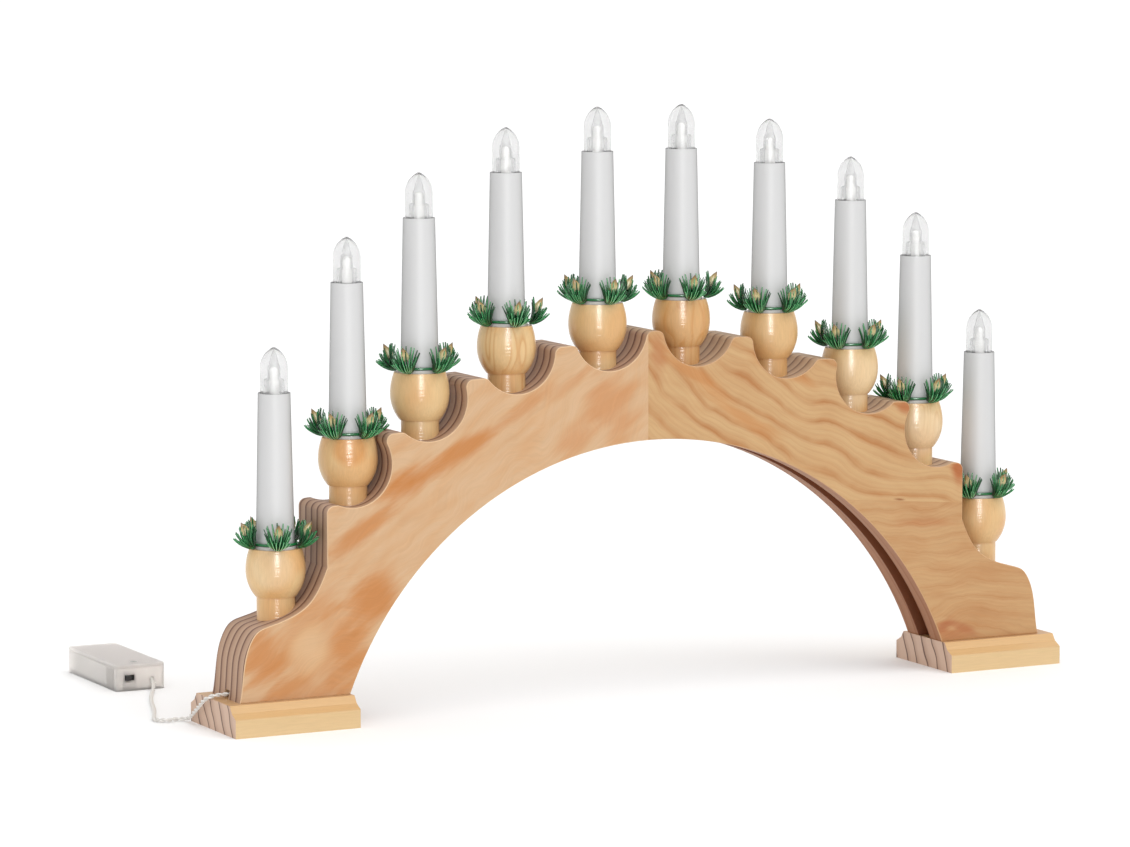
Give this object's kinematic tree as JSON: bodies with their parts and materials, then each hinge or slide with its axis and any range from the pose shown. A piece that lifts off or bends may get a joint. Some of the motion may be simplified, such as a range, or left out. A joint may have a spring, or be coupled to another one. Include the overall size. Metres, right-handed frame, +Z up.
{
  "type": "candle arch",
  "caption": "Free-standing wooden arch that carries turned cups with electric candles and fir rings, lit from a small battery case on a thin lead.",
  "frame": {"origin": "on the table, under the middle of the arch, halfway between its front and back faces", "axes": "+X along the arch towards the end without the lead, +Y towards the back where the battery case lies, +Z up"},
  "size_m": [0.5918, 0.261, 0.3619],
  "materials": {
    "pine_board": "satin varnish",
    "pine_foot": "satin varnish",
    "cup_wood": "gloss varnish, turned",
    "dowel_beech": "plain",
    "sleeve_plastic": "moulded, glossy",
    "cap_clear": "clear moulded plastic",
    "holder_plastic": "moulded",
    "light_lens": "clear resin",
    "wire_white": "soft insulation",
    "staple_steel": "plain wire",
    "screw_steel": "zinc plated",
    "fir_plastic": "moulded, glossy",
    "fir_bud_gold": "painted pale gold",
    "case_plastic": "translucent moulded",
    "switch_black": "moulded",
    "contact_metal": "nickel plated"
  },
  "bodies": {
    "arch": {"arch_left_board": "pine_board", "arch_right_board": "pine_board", "arch_right_leg_block": "pine_board", "seam_dowels": "dowel_beech", "foot_left": "pine_foot", "foot_right": "pine_foot", "foot_screws": "screw_steel", "lamp_holders": "holder_plastic", "lights": "light_lens", "wiring_harness": "wire_white", "riser_wires": "wire_white", "wire_staples": "staple_steel", "battery_case": "case_plastic", "battery_contacts": "contact_metal", "switch_housing": "switch_black", "lead_cord": "wire_white", "candle_cup_01": "cup_wood", "candle_sleeve_01": "sleeve_plastic", "flame_cap_01": "cap_clear", "candle_cup_02": "cup_wood", "candle_sleeve_02": "sleeve_plastic", "flame_cap_02": "cap_clear", "candle_cup_03": "cup_wood", "candle_sleeve_03": "sleeve_plastic", "flame_cap_03": "cap_clear", "candle_cup_04": "cup_wood", "candle_sleeve_04": "sleeve_plastic", "flame_cap_04": "cap_clear", "candle_cup_05": "cup_wood", "candle_sleeve_05": "sleeve_plastic", "flame_cap_05": "cap_clear", "candle_cup_06": "cup_wood", "candle_sleeve_06": "sleeve_plastic", "flame_cap_06": "cap_clear", "candle_cup_07": "cup_wood", "candle_sleeve_07": "sleeve_plastic", "flame_cap_07": "cap_clear", "candle_cup_08": "cup_wood", "candle_sleeve_08": "sleeve_plastic", "flame_cap_08": "cap_clear", "candle_cup_09": "cup_wood", "candle_sleeve_09": "sleeve_plastic", "flame_cap_09": "cap_clear", "candle_cup_10": "cup_wood", "candle_sleeve_10": "sleeve_plastic", "flame_cap_10": "cap_clear"},
    "cover": {"battery_cover": "case_plastic", "cover_screw": "screw_steel"},
    "switch": {"switch_lever": "switch_black"},
    "ring_01": {"candle_ring_01": "fir_plastic"},
    "ring_02": {"candle_ring_02": "fir_plastic"},
    "ring_03": {"candle_ring_03": "fir_plastic"},
    "ring_04": {"candle_ring_04": "fir_plastic"},
    "ring_05": {"candle_ring_05": "fir_plastic"},
    "ring_06": {"candle_ring_06": "fir_plastic"},
    "ring_07": {"candle_ring_07": "fir_plastic"},
    "ring_08": {"candle_ring_08": "fir_plastic"},
    "ring_09": {"candle_ring_09": "fir_plastic"},
    "ring_10": {"candle_ring_10": "fir_plastic"}
  },
  "joints": [
    {"name": "cover_lift", "type": "slide", "parent": "arch", "child": "cover", "axis": [0, 0, 1], "range_m": [0, 0.05]},
    {"name": "switch_slide", "type": "slide", "parent": "arch", "child": "switch", "axis": [1, 0, 0], "range_m": [0, 0.0024]},
    {"name": "ring_lift_01", "type": "slide", "parent": "arch", "child": "ring_01", "axis": [0, 0, 1], "range_m": [0, 0.125]},
    {"name": "ring_lift_02", "type": "slide", "parent": "arch", "child": "ring_02", "axis": [0, 0, 1], "range_m": [0, 0.125]},
    {"name": "ring_lift_03", "type": "slide", "parent": "arch", "child": "ring_03", "axis": [0, 0, 1], "range_m": [0, 0.125]},
    {"name": "ring_lift_04", "type": "slide", "parent": "arch", "child": "ring_04", "axis": [0, 0, 1], "range_m": [0, 0.125]},
    {"name": "ring_lift_05", "type": "slide", "parent": "arch", "child": "ring_05", "axis": [0, 0, 1], "range_m": [0, 0.125]},
    {"name": "ring_lift_06", "type": "slide", "parent": "arch", "child": "ring_06", "axis": [0, 0, 1], "range_m": [0, 0.125]},
    {"name": "ring_lift_07", "type": "slide", "parent": "arch", "child": "ring_07", "axis": [0, 0, 1], "range_m": [0, 0.125]},
    {"name": "ring_lift_08", "type": "slide", "parent": "arch", "child": "ring_08", "axis": [0, 0, 1], "range_m": [0, 0.125]},
    {"name": "ring_lift_09", "type": "slide", "parent": "arch", "child": "ring_09", "axis": [0, 0, 1], "range_m": [0, 0.125]},
    {"name": "ring_lift_10", "type": "slide", "parent": "arch", "child": "ring_10", "axis": [0, 0, 1], "range_m": [0, 0.125]}
  ]
}
